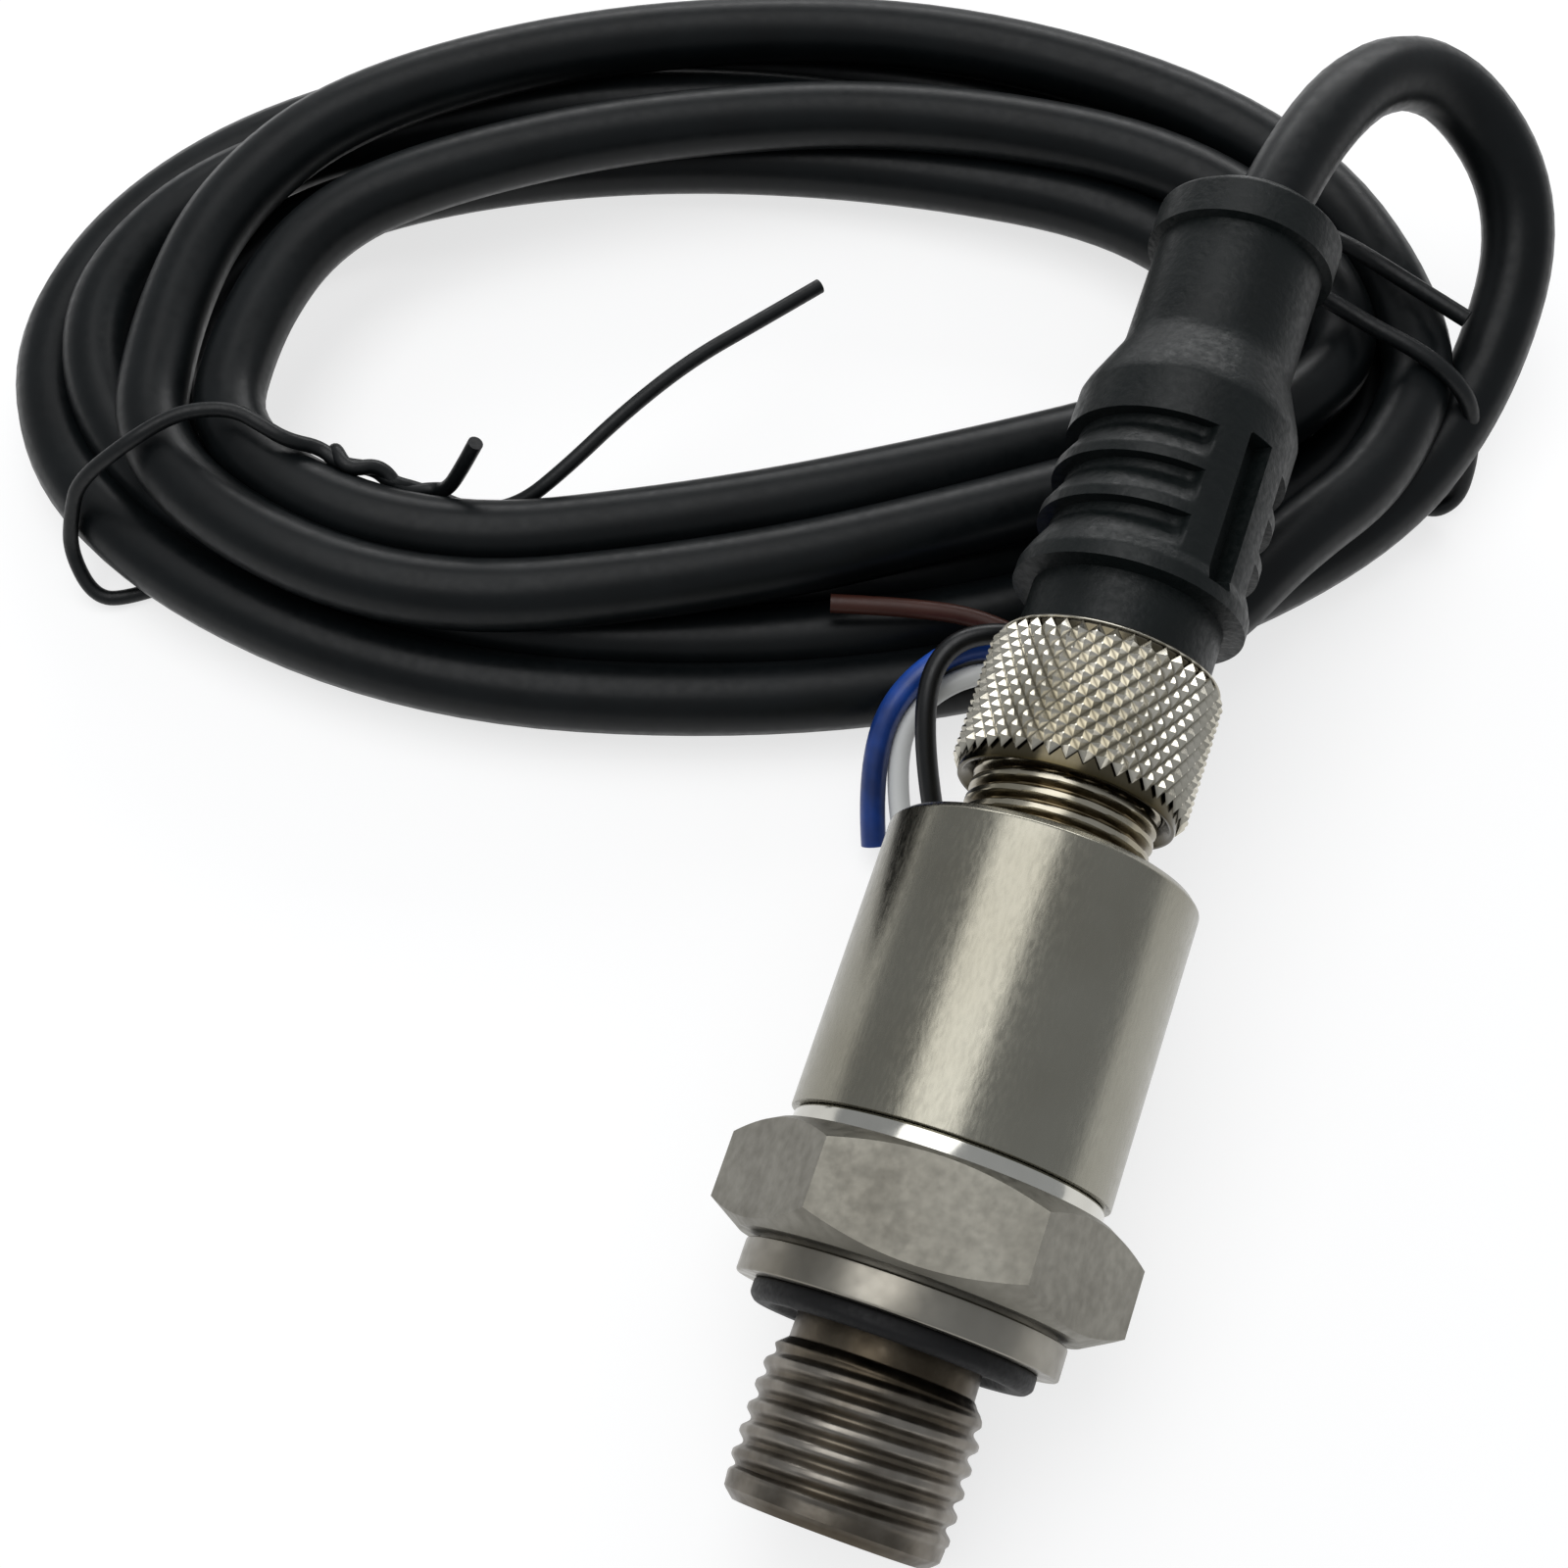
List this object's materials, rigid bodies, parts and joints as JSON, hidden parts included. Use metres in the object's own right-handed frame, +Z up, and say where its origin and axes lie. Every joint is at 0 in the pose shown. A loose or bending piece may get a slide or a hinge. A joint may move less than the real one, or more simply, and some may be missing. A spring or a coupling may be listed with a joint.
{
  "type": "pressure transmitter",
  "caption": "Threaded stainless pressure transmitter with a hexagon and smooth sleeve, its knurled screw-on plug, and a coiled, tied four-core cord.",
  "frame": {"origin": "on the table, under the middle of the transmitter and its plug", "axes": "+Y along the transmitter towards the plug, +Z up; the transmitter's own axis rises 10 degrees from +Y; +X to the right"},
  "size_m": [0.1096, 0.1193, 0.0298],
  "materials": {
    "process_steel": "turned stainless steel, matte hexagon, dull brown thread",
    "seal_rubber": "black moulded rubber",
    "cell_ceramic": "ground white alumina",
    "ring_steel": "turned",
    "tinned_wire": "bright tinned wire",
    "board_laminate": "green solder mask",
    "chip_plastic": "moulded black",
    "capacitor_ceramic": "tan ceramic",
    "sleeve_steel": "fine circumferential brushing with a heat tint at the foot",
    "insert_plastic": "moulded black",
    "contact_gold": "gold plated",
    "nut_plating": "nickel plated brass with a diamond knurl",
    "carrier_plastic": "moulded black",
    "grip_plastic": "fine grained black",
    "cord_jacket": "matt dark jacket",
    "core_brown_skin": "smooth brown insulation",
    "core_black_skin": "smooth black insulation",
    "core_white_skin": "smooth white insulation",
    "core_blue_skin": "smooth blue insulation",
    "tie_plastic": "black coated wire"
  },
  "bodies": {
    "transmitter": {"process_body": "process_steel", "process_seal": "seal_rubber", "sensor_o_ring": "seal_rubber", "sensor_cell": "cell_ceramic", "clamp_ring": "ring_steel", "sensor_leads": "tinned_wire", "circuit_board": "board_laminate", "board_chip": "chip_plastic", "board_capacitor": "capacitor_ceramic", "board_leads": "tinned_wire", "housing_sleeve": "sleeve_steel", "contact_insert": "insert_plastic", "insert_o_ring": "seal_rubber", "contact_pins": "contact_gold", "cable_lead": "cord_jacket", "cable_tail": "cord_jacket", "cable_coil": "cord_jacket", "core_brown": "core_brown_skin", "core_black": "core_black_skin", "core_white": "core_white_skin", "core_blue": "core_blue_skin", "tie_right": "tie_plastic", "tie_left": "tie_plastic"},
    "plug": {"plug_carrier": "carrier_plastic", "socket_contacts": "contact_gold", "plug_face_seal": "seal_rubber", "grip_body": "grip_plastic"},
    "coupling": {"coupling_nut": "nut_plating"}
  },
  "joints": [
    {"name": "plug_slide", "type": "slide", "parent": "transmitter", "child": "plug", "axis": [0, 0.9848, 0.1736], "range_m": [0, 0.0076]},
    {"name": "nut_turn", "type": "hinge", "parent": "plug", "child": "coupling", "pos_m": [0, 0.00505, 0.0169], "axis": [0, 0.9848, 0.1736], "range_deg": [0, 2700]}
  ],
  "couplings": [
    {"joint": "plug_slide", "follows": "nut_turn", "m_per_rad": 0.00015915}
  ]
}
